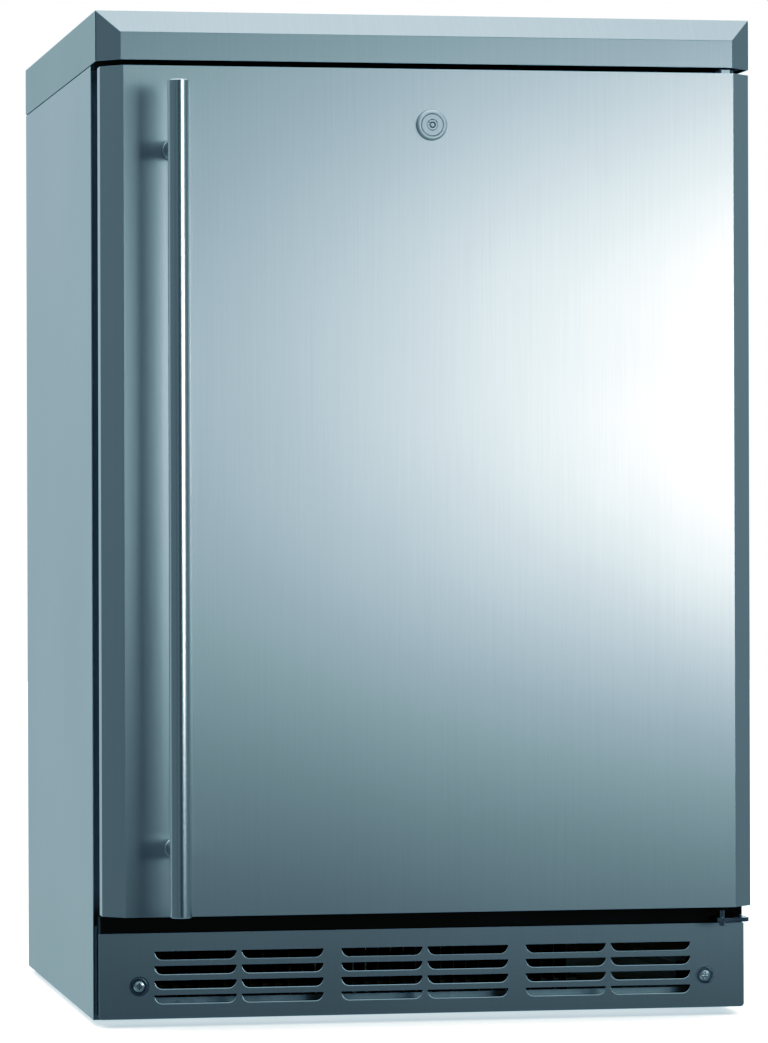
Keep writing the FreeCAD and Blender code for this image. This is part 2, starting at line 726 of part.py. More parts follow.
def hinge_plate(name, ear, screw_height, low, high, tab_low, tab_high, pin_low, pin_high):
    """Hinge leaf reaching across to its ear, with a tab screwed to the frame and a pin."""
    leaf = new_body(name)
    pad(leaf, name + "_leaf", "Z", low, high, polygon(
        ("hinge_x - 4.5", "hinge_y"), ("hinge_x", "hinge_y - 4.5"), (f"{ear} - 4", "hinge_y - 4.5"),
        (ear, "hinge_y"), ("door_half - 1", "cabinet_front"),
        ("hinge_x + 6", "cabinet_front"), ("hinge_x - 4.5", "hinge_y + 8")))
    round_edges(leaf, name + "_ear", "2", lambda edge: runs_along(edge, "Z")
                and edge.CenterOfMass.y < number("hinge_y + 1"))
    pad(leaf, name + "_tab", "Y", "cabinet_front - 2.5", "cabinet_front",
        rectangle("hinge_x + 6", tab_low, "door_half - 1", tab_high))
    pad(leaf, name + "_pin", "Z", pin_low, pin_high, circle("hinge_x", "hinge_y", "hinge_pin"))
    round_edges(leaf, name + "_pin_ends", "1", lambda edge: isinstance(edge.Curve, Part.Circle)
                and min(abs(edge.BoundBox.ZMin - number(pin_low)),
                        abs(edge.BoundBox.ZMin - number(pin_high))) < 0.01)
    pocket(leaf, name + "_screw_holes", "Y", "cabinet_front - 3", "cabinet_front",
           *hinge_screw_bores(screw_height))
    node(name, leaf)


def build_hinges():
    hinge_plate("hinge_bottom", "door_half - 1", "hinge_screw_low", "lower_plate_bottom",
                "lower_plate_top", "lower_plate_bottom", "116", "83.6", "door_bottom + 16")
    hinge_plate("hinge_top", "hinge_x + 13", "hinge_screw_high", "upper_plate_bottom",
                "upper_plate_top", "843", "upper_plate_top",
                "door_top - 16", "upper_plate_top + 1.5")
    bushes = []
    screws = []
    for level, start, end in (("low", "door_bottom - 4", "door_bottom + 20"),
                              ("high", "door_top - 20", "door_top + 0.8")):
        bush = new_body("hinge_bush_" + level)
        pad(bush, "bush_sleeve_" + level, "Z", start, end,
            circle("hinge_x", "hinge_y", "hinge_bush"),
            circle("hinge_x", "hinge_y", "hinge_pin + 2 * running_gap"))
        bushes.append(bush)
        for side in ("near", "far"):
            screw = cross_screw(f"hinge_screw_{level}_{side}_body", "7", "hinge_screw_grip")
            place(screw, "hinge_screw_" + side, "cabinet_front - 2.5", "hinge_screw_" + level)
            screws.append(screw)
    group("hinge_bushes", bushes)
    group("hinge_screws", screws)


def build_handle():
    bar = node("handle_bar", new_body("handle_bar"))
    radius = "handle_diameter / 2"
    turn(bar, "bar_turned", "Z", ("0", "handle_bottom"), (f"{radius} - 1", "handle_bottom"),
         (radius, "handle_bottom + 1"), (radius, "handle_top - 1"),
         (f"{radius} - 1", "handle_top"), ("0", "handle_top"))
    place(bar, "handle_x", "handle_y", "0")
    posts = []
    bolts = []
    for level, height in (("low", "post_low"), ("high", "post_high")):
        post = new_body("handle_post_" + level)
        turn(post, f"post_{level}_turned", "Y",
             ("3.1", "0"), ("post_diameter / 2", "0"), ("post_diameter / 2", "-8"),
             ("post_diameter / 2 - 0.5", "-8.5"), ("post_diameter / 2 - 0.5", "handle_y"),
             ("0", "handle_y"), ("0", "-24"), ("3.1", "-24"))
        place(post, "handle_x", "0", height)
        posts.append(post)
        bolt = new_body("handle_bolt_" + level)
        turn(bolt, f"bolt_{level}_turned", "Y",
             ("0", "-22"), ("3", "-22"), ("3", "1.2"), ("6", "1.2"), ("6", "5.2"), ("0", "5.2"))
        place(bolt, "handle_x", "0", height)
        bolts.append(bolt)
    pair = doc.addObject("Part::Compound", "post_pair")
    pair.Links = posts
    node("handle_posts", subtract("handle_posts", pair, bar))
    group("handle_bolts", bolts)


def build_lock():
    """Bezel and barrel fixed in the door, the turning core with its cam, and the keeper."""
    bezel = node("lock_bezel", new_body("lock_bezel"))
    turn(bezel, "bezel_turned", "Y",
         ("barrel_diameter / 2 + 0.2", "0"), ("bezel_diameter / 2", "0"),
         ("bezel_diameter / 2", "-(bezel_proud - 1.6)"),
         ("bezel_diameter / 2 - 0.5", "-(bezel_proud - 0.6)"),
         ("bezel_diameter / 2 - 1.6", "-bezel_proud"),
         ("barrel_diameter / 2 + 0.8", "-bezel_proud"),
         ("barrel_diameter / 2 + 0.2", "-(bezel_proud - 0.9)"))
    place(bezel, "0", "0", "lock_height")

    bore = "core_diameter / 2 + running_gap"
    barrel = node("lock_barrel", new_body("lock_barrel"))
    turn(barrel, "barrel_turned", "Y",
         (bore, "-(bezel_proud - 0.7)"), (f"{bore} + 0.5", "-bezel_proud"),
         ("barrel_diameter / 2 - 0.5", "-bezel_proud"), ("barrel_diameter / 2", "-(bezel_proud - 0.7)"),
         ("barrel_diameter / 2", "door_liner_back"), ("12", "door_liner_back"),
         ("12", "door_liner_back + 4"), (bore, "door_liner_back + 4"))
    place(barrel, "0", "0", "lock_height")

    core = node("lock_core", new_body("lock_core"))
    turn(core, "core_turned", "Y", ("0", "-bezel_proud"),
         ("core_diameter / 2 - 0.4", "-bezel_proud"), ("core_diameter / 2", "-(bezel_proud - 0.6)"),
         ("core_diameter / 2", "cam_back"), ("0", "cam_back"))
    pocket(core, "keyway", "Y", "-bezel_proud - 1", "6",
           circle("0", "0", "keyway_outer"), circle("0", "0", "keyway_inner"))
    pocket(core, "keyway_notch", "Y", "-bezel_proud - 1", "4",
           rectangle("-3.3", "1.2", "-1.8", "2.6"))
    pad(core, "cam_plate", "Y", "cam_front", "cam_back",
        rectangle("-cam_half", "-cam_reach", "cam_half", "1"))
    round_edges(core, "cam_tip", "4", lambda edge: runs_along(edge, "Y")
                and edge.CenterOfMass.z < -number("cam_reach") + 1)
    place(core, "0", "0", "lock_height")

    keeper = node("lock_keeper", new_body("lock_keeper"))
    pad(keeper, "keeper_plate", "Y", "cam_front - 4", "cam_front - 2",
        rectangle("-46", "797", "-14", "liner_ceiling"))
    pad(keeper, "keeper_flange", "Z", "liner_ceiling - 2", "liner_ceiling",
        rectangle("-46", "cam_front - 2", "-32", "cam_front + 32"))


def wire_shelf(name, height):
    """Flat wire shelf: a square bar frame, wires front to back and three cross wires."""
    shelf = node(name, new_body(name))
    low = f"({height}) - shelf_bar / 2"
    high = f"({height}) + shelf_bar / 2"
    pad(shelf, name + "_frame", "Z", low, high,
        rectangle("-shelf_half", "shelf_front", "shelf_half", "shelf_back"),
        rectangle("-(shelf_half - shelf_bar)", "shelf_front + shelf_bar",
                  "shelf_half - shelf_bar", "shelf_back - shelf_bar"))
    round_edges(shelf, name + "_corners", "5", lambda edge: runs_along(edge, "Z")
                and abs(edge.CenterOfMass.x) > number("shelf_half - 1"))
    count = 17
    pitch = f"2 * (shelf_half - shelf_bar) / {count + 1}"
    wire = pad(shelf, name + "_wire", "Y", "shelf_front + shelf_bar - 1",
               "shelf_back - shelf_bar + 1",
               circle(f"-(shelf_half - shelf_bar) + {pitch}", f"({height}) + 1", "shelf_wire"))
    repeat(shelf, name + "_wires", wire, ("H_Axis", pitch, count))
    cross = pad(shelf, name + "_cross", "X", "-(shelf_half - shelf_bar / 2)",
                "shelf_half - shelf_bar / 2",
                circle("(shelf_front + shelf_back) / 2 - 100", f"({height}) - 1.2", "shelf_wire - 0.4"))
    repeat(shelf, name + "_crosses", cross, ("H_Axis", "100", 3))


def build_shelves():
    levels = {"shelf_lower": "shelf_low", "shelf_middle": "shelf_mid", "shelf_upper": "shelf_high"}
    for name, height in levels.items():
        wire_shelf(name, height)
    strips = []
    clips = []
    for side, sign in (("left", "-"), ("right", "")):
        for row, y, bottom in (("front", "strip_front_row", "200"), ("back", "strip_back_row", "345")):
            outer, inner = f"{sign}liner_half", f"{sign}(liner_half - strip_depth)"
            start, end = (outer, inner) if sign else (inner, outer)
            strip = box(f"strip_{side}_{row}", (start, f"{y} - strip_width / 2", bottom),
                        (end, f"{y} + strip_width / 2", "745"))
            hole = pocket(strip, f"strip_hole_{side}_{row}", "X", start, end,
                          rectangle(f"{y} - 3", f"{bottom} + 12", f"{y} + 3", f"{bottom} + 15"))
            count = int((745 - float(bottom) - 20) // 20)
            repeat(strip, f"strip_holes_{side}_{row}", hole, ("V_Axis", "20", count))
            strips.append(strip)
            for name, height in levels.items():
                tip, root = f"{sign}(liner_half - 18)", inner
                low_x, high_x = (root, tip) if sign else (tip, root)
                clips.append(box(f"clip_{side}_{row}_{name}",
                                 (low_x, f"{y} - 6", f"{height} - shelf_bar / 2 - 5"),
                                 (high_x, f"{y} + 6", f"{height} - shelf_bar / 2 - 0.3")))
    group("shelf_strips", strips)
    group("shelf_clips", clips)


def fan_blades(name, diameter, hub, depth):
    """Hub with five pitched blades turning about Y, its front at the body's own origin."""
    fan = node(name, new_body(name))
    turn(fan, name + "_hub", "Y", ("0", "0"), (f"{hub} / 2 - 2", "0"), (f"{hub} / 2", "2"),
         (f"{hub} / 2", depth), ("0", depth))
    blade = pad(fan, name + "_blade", "X", f"{hub} / 2 - 3", f"{diameter} / 2", polygon(
        ("0.5", f"-({hub}) * 0.3"), ("2", f"-({hub}) * 0.3"), (f"({depth}) - 0.5", f"({hub}) * 0.3"),
        (f"({depth}) - 2", f"({hub}) * 0.3")))
    ring_of(fan, name + "_blades", blade, "Y_Axis", 5)
    return fan


def finned_coil(name, low, high, tube_rows, fins):
    """Tubes running across with a stack of thin fins on them."""
    coil = node(name, new_body(name))
    depth = f"({high[1]}) - ({low[1]})"
    rise = f"(({high[2]}) - ({low[2]})) / {tube_rows}"
    spots = [(f"({low[1]}) + ({depth}) * {share}", f"({low[2]}) + ({rise}) * {row + 0.5}")
             for row in range(tube_rows) for share in (0.28, 0.72)]
    pad(coil, name + "_tubes", "X", low[0], high[0],
        *(circle(y, z, "tube_diameter") for y, z in spots))
    fin = pad(coil, name + "_fin", "X", f"({low[0]}) + 12", f"({low[0]}) + 12 + fin_sheet",
              rectangle(low[1], low[2], high[1], high[2]))
    stack = coil.newObject("PartDesign::LinearPattern", name + "_fins")
    stack.Originals = [fin]
    across = next(item for item in coil.Origin.OriginFeatures if item.Role == "X_Axis")
    stack.Direction = (across, [""])
    bind(stack, "Length", f"({high[0]}) - ({low[0]}) - 24 - fin_sheet")
    stack.Occurrences = fins
    coil.Tip = stack


def build_condensing_unit():
    """Compressor on its mounts, condenser behind the kick plate, fan, drier and lines."""
    compressor = node("compressor", new_body("compressor"))
    radius = "compressor_radius"
    low, high = "compressor_bottom", "compressor_top"
    turn(compressor, "compressor_shell", "Z",
         ("0", low), (f"{radius} - 22", low), (f"{radius} - 6", f"{low} + 14"),
         (radius, f"{low} + 34"), (radius, f"({low} + {high}) / 2"),
         (f"{radius} + 2", f"({low} + {high}) / 2"), (f"{radius} + 2", f"({low} + {high}) / 2 + 3"),
         (radius, f"({low} + {high}) / 2 + 3"), (radius, f"{high} - 34"),
         (f"{radius} - 8", f"{high} - 14"), (f"{radius} - 28", high), ("0", high))
    plate_low = f"{low} - 4"
    pad(compressor, "compressor_plate", "Z", plate_low, low,
        rectangle("-95", "-60", "95", "60"))
    grommet_spots = [(x, y) for x in (-84, 84) for y in (-49, 49)]
    pocket(compressor, "compressor_plate_holes", "Z", plate_low, low,
           *(circle(x, y, "12") for x, y in grommet_spots))
    pad(compressor, "compressor_terminal_box", "X", f"{radius} - 8", f"{radius} + 14",
        rectangle("-24", "90", "24", "140"))
    place(compressor, "compressor_x", "compressor_y", "0")
    grommets = []
    for i, (x, y) in enumerate(grommet_spots):
        grommet = new_body(f"grommet_{i}")
        turn(grommet, f"grommet_{i}_turned", "Z",
             ("0", "0"), ("11", "0"), ("11", f"{plate_low} - pan_bottom - 2"),
             ("6", f"{plate_low} - pan_bottom - 2"), ("6", f"{low} - pan_bottom - 2"),
             ("9", f"{low} - pan_bottom - 2"), ("9", f"{low} - pan_bottom + 3"),
             ("0", f"{low} - pan_bottom + 3"))
        place(grommet, f"compressor_x + {x}", f"compressor_y + {y}", "pan_bottom + 2")
        grommets.append(grommet)
    group("compressor_mounts", grommets)

    finned_coil("condenser", ("condenser_left", "condenser_front", "condenser_bottom"),
                ("condenser_right", "condenser_back", "condenser_top"), 3, 33)

    shroud = node("fan_shroud", box("fan_shroud", ("fan_x - 85", "shroud_front", "pan_bottom + 2"),
                                    ("fan_x + 85", "shroud_front + 2", "195")))
    pocket(shroud, "shroud_mouth", "Y", "shroud_front", "shroud_front + 2",
           circle("fan_x", "fan_z", "fan_diameter + 8"))
    fan = fan_blades("condenser_fan", "fan_diameter", "34", "18")
    place(fan, "fan_x", "shroud_front + 4", "fan_z")
    motor = node("fan_motor", new_body("fan_motor"))
    motor_front = "shroud_front + 24"
    pad(motor, "motor_can", "Y", motor_front, f"{motor_front} + 44", circle("fan_x", "fan_z", "52"))
    pad(motor, "motor_arm", "Y", f"{motor_front} + 6", f"{motor_front} + 9",
        rectangle("fan_x - 80", "fan_z - 7", "fan_x + 80", "fan_z + 7"))
    for side, left, right in (("left", "fan_x - 80", "fan_x - 77"), ("right", "fan_x + 77", "fan_x + 80")):
        pad(motor, f"motor_leg_{side}", "Y", "shroud_front + 2", f"{motor_front} + 9",
            rectangle(left, "fan_z - 7", right, "fan_z + 7"))

    drier = node("filter_drier", new_body("filter_drier"))
    turn(drier, "drier_turned", "Z", ("0", "0"), ("4", "0"), ("4", "10"), ("10", "18"),
         ("10", "88"), ("4", "96"), ("4", "106"), ("0", "106"))
    place(drier, "-20", "590", "90")

    discharge = bent_tube("discharge_line", [
        ("compressor_x + compressor_radius - 1", "compressor_y", "160"), ("-35", "compressor_y", "160"),
        ("-35", "compressor_y", "50"), ("-35", "condenser_back + 1", "50")], 5)
    liquid = bent_tube("liquid_line", [
        ("-20", "590", "90"), ("-20", "590", "40"), ("-8", "590", "40"),
        ("-8", "condenser_back + 1", "40")], 5)
    suction = bent_tube("suction_line", [
        ("compressor_x - compressor_radius + 1", "compressor_y", "120"),
        ("-240", "compressor_y", "120"), ("-240", "595", "120"), ("-240", "595", "280")], 8)
    shells = doc.addObject("Part::Compound", "line_set")
    shells.Links = [discharge, liquid, suction]
    node("refrigerant_lines", subtract("refrigerant_lines", shells, compressor))

    tray = node("drip_tray", box("drip_tray", ("-225", "440", "compressor_top + 4"),
                                 ("-45", "585", "compressor_top + 28")))
    pocket(tray, "tray_hollow", "Z", "compressor_top + 6", "compressor_top + 28",
           rectangle("-223", "442", "-47", "583"))

    gland = node("mains_gland", new_body("mains_gland"))
    turn(gland, "gland_turned", "Y", ("5", "-8"), ("10", "-8"), ("10", "1"), ("14", "1"),
         ("14", "5"), ("9", "16"), ("5", "16"))
    place(gland, "240", "cabinet_back - sheet - 1", "70")


def build_evaporator():
    """Cooling coil, its fan and the slotted cover on the liner's rear wall."""
    cover = node("evaporator_cover", box("evaporator_cover", ("-cooler_half", "cooler_front",
                                                              "cooler_bottom"),
                                         ("cooler_half", "liner_back", "cooler_top")))
    round_edges(cover, "cover_rounds", "6", lambda edge: abs(edge.BoundBox.YMax
                - number("cooler_front")) < 0.01)
    pocket(cover, "cover_hollow", "Y", "cooler_front + 2", "liner_back",
           rectangle("-(cooler_half - 6)", "cooler_bottom + 6", "cooler_half - 6", "cooler_top - 6"))
    fan_slit = pocket(cover, "outlet_slit", "Y", "cooler_front", "cooler_front + 2",
                      rectangle("-43", "cooler_fan_z - 40", "-38", "cooler_fan_z + 40"))
    repeat(cover, "outlet_slits", fan_slit, ("H_Axis", "10.125", 9))
    inlet_slit = pocket(cover, "inlet_slit", "Y", "cooler_front", "cooler_front + 2",
                        rectangle("-162.5", "cooler_bottom + 20", "-157.5", "cooler_bottom + 80"))
    repeat(cover, "inlet_slits", inlet_slit, ("H_Axis", "16", 21))
    finned_coil("evaporator", ("-178", "cooler_front + 8", "cooler_bottom + 12"),
                ("178", "liner_back - 8", "cooler_bottom + 112"), 3, 29)
    fan = fan_blades("evaporator_fan", "cooler_fan_diameter", "26", "12")
    place(fan, "0", "cooler_front + 8", "cooler_fan_z")
    motor = node("evaporator_motor", new_body("evaporator_motor"))
    pad(motor, "cooler_motor_can", "Y", "cooler_front + 22", "liner_back",
        circle("0", "cooler_fan_z", "36"))
    pad(motor, "cooler_motor_foot", "Y", "liner_back - 3", "liner_back",
        rectangle("-26", "cooler_fan_z - 26", "26", "cooler_fan_z + 26"))


def build_controls():
    """Thermostat housing with its dial and lamp rocker, and the lamp beside it."""
    housing = node("control_housing", box("control_housing", ("control_left", "control_front",
                                                              "control_bottom"),
                                          ("control_right", "control_back", "liner_ceiling")))
    round_edges(housing, "housing_rounds", "4", lambda edge: abs(edge.BoundBox.YMax
                - number("control_front")) < 0.01)
    pocket(housing, "dial_bore", "Y", "control_front", "control_front + 14",
           circle("dial_x", "dial_z", "6 + 2 * running_gap"))
    pocket(housing, "rocker_well", "Y", "control_front", "control_front + 12",
           rectangle("rocker_x - 10.6", "dial_z - 8", "rocker_x + 10.6", "dial_z + 8"))

    dial = node("thermostat_dial", new_body("thermostat_dial"))
    turn(dial, "dial_turned", "Y", ("0", "-14"), ("dial_diameter / 2 - 3", "-14"),
         ("dial_diameter / 2 - 1", "-12"), ("dial_diameter / 2", "-0.8"), ("3", "-0.8"),
         ("3", "12"), ("0", "12"))
    pocket(dial, "dial_grip", "Y", "-15", "-7",
           rectangle("-14", "-9", "-3", "9"), rectangle("3", "-9", "14", "9"))
    place(dial, "dial_x", "control_front", "dial_z")

    rocker = node("lamp_rocker", new_body("lamp_rocker"))
    pad(rocker, "rocker_key", "X", "-10", "10", polygon(
        ("-4", "-6.5"), ("-2.4", "0"), ("-4", "6.5"), ("2", "6.5"), ("5", "2"), ("5", "-2"),
        ("2", "-6.5")))
    pad(rocker, "rocker_pivot", "X", "-10.4", "10.4", circle("0", "0", "3"))
    place(rocker, "rocker_x", "control_front + 1.5", "dial_z", "rocker_tilt")

    lens = node("lamp_lens", box("lamp_lens", ("lamp_left", "control_front", "lamp_bottom"),
                                 ("lamp_right", "control_back", "liner_ceiling")))
    round_edges(lens, "lens_rounds", "5",
                lambda edge: abs(edge.BoundBox.ZMax - number("lamp_bottom")) < 0.01)
    pocket(lens, "lens_hollow", "Z", "lamp_bottom + 2", "liner_ceiling", rectangle(
        "lamp_left + 5", "control_front + 5", "lamp_right - 5", "control_back - 5"))
    board = node("lamp_board", box("lamp_board", ("lamp_left + 8", "control_front + 8",
                                                  "liner_ceiling - 2"),
                                   ("lamp_right - 8", "control_back - 8", "liner_ceiling")))
    led = pad(board, "lamp_led", "Z", "liner_ceiling - 4", "liner_ceiling - 2",
              rectangle("lamp_left + 18", "control_front + 42", "lamp_left + 24", "control_front + 48"))
    repeat(board, "lamp_leds", led, ("H_Axis", "16", 6))


build_worktop()
build_shell()
build_insulation()
build_base()
build_kick()
build_door()
build_hinges()
build_handle()
build_lock()
build_shelves()
build_condensing_unit()
build_evaporator()
build_controls()
doc.recompute()

for item in doc.Objects:
    if "Invalid" in item.State or "Error" in item.State:
        raise RuntimeError(f"{item.Label} did not rebuild: {item.State}")
for name, built in nodes.items():
    if built.Shape.isNull() or not built.Shape.isValid() or not built.Shape.Solids:
        raise RuntimeError(f"{name} has no sound solid")

os.makedirs("parts", exist_ok=True)
for name, built in nodes.items():
    built.Shape.exportStep(f"parts/{name}.step")
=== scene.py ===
import math

import bmesh
import bpy
from mathutils import Matrix, Vector
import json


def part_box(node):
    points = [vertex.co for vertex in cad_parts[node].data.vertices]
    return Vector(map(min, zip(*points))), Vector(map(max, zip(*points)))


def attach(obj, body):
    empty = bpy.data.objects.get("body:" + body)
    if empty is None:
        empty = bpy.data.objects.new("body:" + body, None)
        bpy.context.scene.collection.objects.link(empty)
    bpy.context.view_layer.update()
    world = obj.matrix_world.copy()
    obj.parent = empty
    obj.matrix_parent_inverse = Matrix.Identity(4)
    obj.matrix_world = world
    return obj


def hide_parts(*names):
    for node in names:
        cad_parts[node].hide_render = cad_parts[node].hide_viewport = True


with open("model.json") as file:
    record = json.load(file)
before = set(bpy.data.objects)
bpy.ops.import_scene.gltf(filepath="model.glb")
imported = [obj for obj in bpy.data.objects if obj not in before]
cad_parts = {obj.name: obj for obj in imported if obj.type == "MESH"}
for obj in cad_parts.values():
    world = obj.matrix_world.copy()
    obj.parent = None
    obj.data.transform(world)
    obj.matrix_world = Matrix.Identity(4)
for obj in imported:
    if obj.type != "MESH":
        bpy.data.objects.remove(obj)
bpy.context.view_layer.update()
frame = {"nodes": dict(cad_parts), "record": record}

MM = 0.001


# ---------------------------------------------------------------- materials

class Look:
    """A node material under construction, ending in one Principled shader."""

    def __init__(self, name):
        self.material = bpy.data.materials.new(name)
        self.material.use_nodes = True
        self.tree = self.material.node_tree
        self.shader = self.tree.nodes["Principled BSDF"]

    def node(self, kind, inputs=None, **settings):
        """Add a node. A socket given as an input is linked; anything else is its value."""
        made = self.tree.nodes.new("ShaderNode" + kind)
        for name, value in settings.items():
            setattr(made, name, value)
        for name, value in (inputs or {}).items():
            self.feed(made.inputs[name], value)
        return made

    def feed(self, socket, value):
        if isinstance(value, bpy.types.NodeSocket):
            self.tree.links.new(value, socket)
        else:
            socket.default_value = value

    def place(self):
        return self.node("TexCoord").outputs["Object"]

    def stretched(self, scale):
        return self.node("Mapping", {"Vector": self.place(), "Scale": scale}).outputs["Vector"]

    def noise(self, vector, scale, detail=2.0, roughness=0.5):
        return self.node("TexNoise", {"Vector": vector, "Scale": scale, "Detail": detail,
                                      "Roughness": roughness}).outputs["Fac"]

    def spread(self, value, low, high, start=0.3, end=0.7):
        """Map a noise value on to a range."""
        return self.node("MapRange", {"Value": value, "From Min": start, "From Max": end,
                                      "To Min": low, "To Max": high}).outputs["Result"]

    def math(self, operation, first, second):
        return self.node("Math", {0: first, 1: second}, operation=operation).outputs[0]

    def tones(self, value, dark, light):
        """Colour between two tones."""
        blend = self.node("Mix", {"Factor": value}, data_type="RGBA")
        for socket in blend.inputs:
            if socket.type == "RGBA":
                socket.default_value = (*(dark if socket.name == "A" else light), 1)
        return next(out for out in blend.outputs if out.type == "RGBA")

    def bump(self, height, strength, distance):
        made = self.node("Bump", {"Height": height, "Strength": strength, "Distance": distance})
        self.feed(self.shader.inputs["Normal"], made.outputs["Normal"])

    def set(self, **values):
        for name, value in values.items():
            self.feed(self.shader.inputs[name.replace("_", " ")], value)


LONG = 0.01
GRAINS = {"Y": (1, LONG, 1), "Z": (1, 1, LONG), "YZ": (1, LONG, LONG)}


def brushed_steel(name, tone, grain, roughness, stretch=0.8, contrast=0.02):
    """Metal drawn along one axis, which spreads its highlights across the grain.

    The grain YZ runs front to back on level faces and up and down on the others.
    """
    look = Look(name)
    streaked = look.stretched(GRAINS[grain])
    fine = look.noise(streaked, 900, 3.0)
    broad = look.noise(streaked, 260)
    clouds = look.noise(look.place(), 3.5, 3.0)
    streaks = look.math("ADD", look.math("MULTIPLY", fine, 0.8), look.math("MULTIPLY", broad, 0.2))
    dark = tuple(part * (1 - contrast) for part in tone)
    light = tuple(min(1, part * (1 + contrast)) for part in tone)
    look.set(Base_Color=look.tones(look.spread(streaks, 0, 1), dark, light), Metallic=1.0)
    look.set(Roughness=look.spread(clouds, roughness - 0.01, roughness + 0.01))
    look.set(Anisotropic=stretch)
    axis = "Z" if grain == "YZ" else grain
    across = look.node("Tangent", direction_type="RADIAL", axis=axis).outputs[0]
    if grain == "YZ":
        normal = look.node("SeparateXYZ", {"Vector": look.node("NewGeometry").outputs["Normal"]})
        level = look.math("GREATER_THAN", normal.outputs["Z"], 0.9)
        sideways = look.node("CombineXYZ", {"X": 1.0}).outputs["Vector"]
        across = look.node("Mix", {0: level, 4: across, 5: sideways}, data_type="VECTOR").outputs[1]
    look.set(Tangent=across)
    look.bump(fine, 0.05, 0.00001)
    return look.material


def polished(name, tone, roughness):
    """Turned, pressed or plated metal with only faint clouding."""
    look = Look(name)
    clouds = look.noise(look.place(), 60, 3.0)
    dark = tuple(0.94 * part for part in tone)
    look.set(Base_Color=look.tones(look.spread(clouds, 0, 1), dark, tone), Metallic=1.0)
    look.set(Roughness=look.spread(clouds, roughness - 0.015, roughness + 0.015))
    return look.material


def moulded(name, dark, light, roughness, scale, strength, gloss=0.5):
    """Moulded or sprayed surface with a fine texture and slight tone changes."""
    look = Look(name)
    look.set(Specular_IOR_Level=gloss)
    clouds = look.noise(look.place(), 9, 4.0)
    grain = look.noise(look.place(), scale, 2.0)
    look.set(Base_Color=look.tones(look.spread(clouds, 0, 1), dark, light))
    look.set(Roughness=look.spread(grain, roughness - 0.06, roughness + 0.06))
    look.bump(grain, strength, 0.0001)
    return look.material


def spangled_zinc(name):
    """Zinc-coated sheet with its crystal spangle."""
    look = Look(name)
    cells = look.node("TexVoronoi", {"Vector": look.place(), "Scale": 90}).outputs["Color"]
    shade = look.node("SeparateColor", {"Color": cells}).outputs[0]
    clouds = look.noise(look.place(), 12, 4.0)
    value = look.math("MULTIPLY", shade, clouds)
    look.set(Base_Color=look.tones(look.spread(value, 0, 1, 0.0, 0.8), (0.42, 0.45, 0.46),
                                   (0.62, 0.65, 0.66)), Metallic=0.9)
    look.set(Roughness=look.spread(shade, 0.38, 0.55, 0, 1))
    look.bump(clouds, 0.1, 0.0002)
    return look.material


STEEL = (0.69, 0.70, 0.71)
looks = {
    "door": brushed_steel("door_steel", STEEL, "Z", 0.35, 0.75),
    "panel": brushed_steel("panel_steel", STEEL, "Z", 0.36),
    # The worktop is the same stainless as the door. Its darker tone is painted shade for the weaker
    # light that falls on it.
    "top": brushed_steel("worktop_steel_painted_shade", (0.57, 0.58, 0.59), "YZ", 0.364),
    "kick": brushed_steel("kick_steel", STEEL, "Z", 0.33),
    # Front frame steel with a near-black tone: painted shade for the dark gap between door and
    # cabinet.
    "frame": brushed_steel("frame_steel_painted_shade", (0.13, 0.14, 0.15), "Z", 0.4),
    "bar": brushed_steel("bar_steel", (0.70, 0.71, 0.72), "Z", 0.25, 0.3),
    "bright": polished("fitting_steel", (0.72, 0.73, 0.74), 0.26),
    "satin": polished("satin_steel", (0.88, 0.89, 0.90), 0.5),
    # Hinge steel with a dark tone: painted shade for the recesses that the hinges sit in.
    "hinge": polished("hinge_steel_painted_shade", (0.32, 0.33, 0.34), 0.18),
    # Pressed steel with a dark tone: painted shade inside the recessed kick plate cups.
    "cup": polished("pressed_steel_painted_shade", (0.26, 0.27, 0.28), 0.3),
    "zinc": spangled_zinc("zinc_sheet"),
    "liner": moulded("liner_plastic", (0.80, 0.82, 0.82), (0.86, 0.88, 0.87), 0.42, 900, 0.15),
    "black": moulded("black_plastic", (0.004, 0.004, 0.005), (0.008, 0.009, 0.010), 0.62, 1200, 0.3,
                     0.12),
    "rubber": moulded("gasket_rubber", (0.010, 0.012, 0.014), (0.018, 0.020, 0.022), 0.7, 700, 0.3,
                      0.15),
    "gasket": moulded("soft_gasket", (0.030, 0.033, 0.036), (0.045, 0.048, 0.052), 0.55, 500, 0.2),
    "foam": moulded("rigid_foam", (0.62, 0.53, 0.33), (0.72, 0.63, 0.42), 0.85, 500, 0.6),
    "board": moulded("core_board", (0.30, 0.21, 0.13), (0.46, 0.34, 0.22), 0.8, 400, 0.5),
    "wire": moulded("coated_wire", (0.76, 0.78, 0.78), (0.84, 0.86, 0.86), 0.28, 600, 0.1),
    "paint": moulded("black_paint", (0.010, 0.010, 0.012), (0.018, 0.018, 0.021), 0.45, 300, 0.2),
    "fins": brushed_steel("fin_aluminium", (0.68, 0.70, 0.72), "Z", 0.35),
    "copper": brushed_steel("drawn_copper", (0.72, 0.38, 0.24), "Z", 0.30),
    "lens": moulded("frosted_lens", (0.80, 0.84, 0.86), (0.88, 0.91, 0.92), 0.35, 800, 0.1),
    "circuit": moulded("circuit_board", (0.74, 0.76, 0.74), (0.82, 0.84, 0.82), 0.5, 400, 0.1),
}
lit_lens = looks["lens"].node_tree.nodes["Principled BSDF"]
lit_lens.inputs["Emission Color"].default_value = (1.0, 0.97, 0.92, 1)
lit_lens.inputs["Emission Strength"].default_value = 4.0

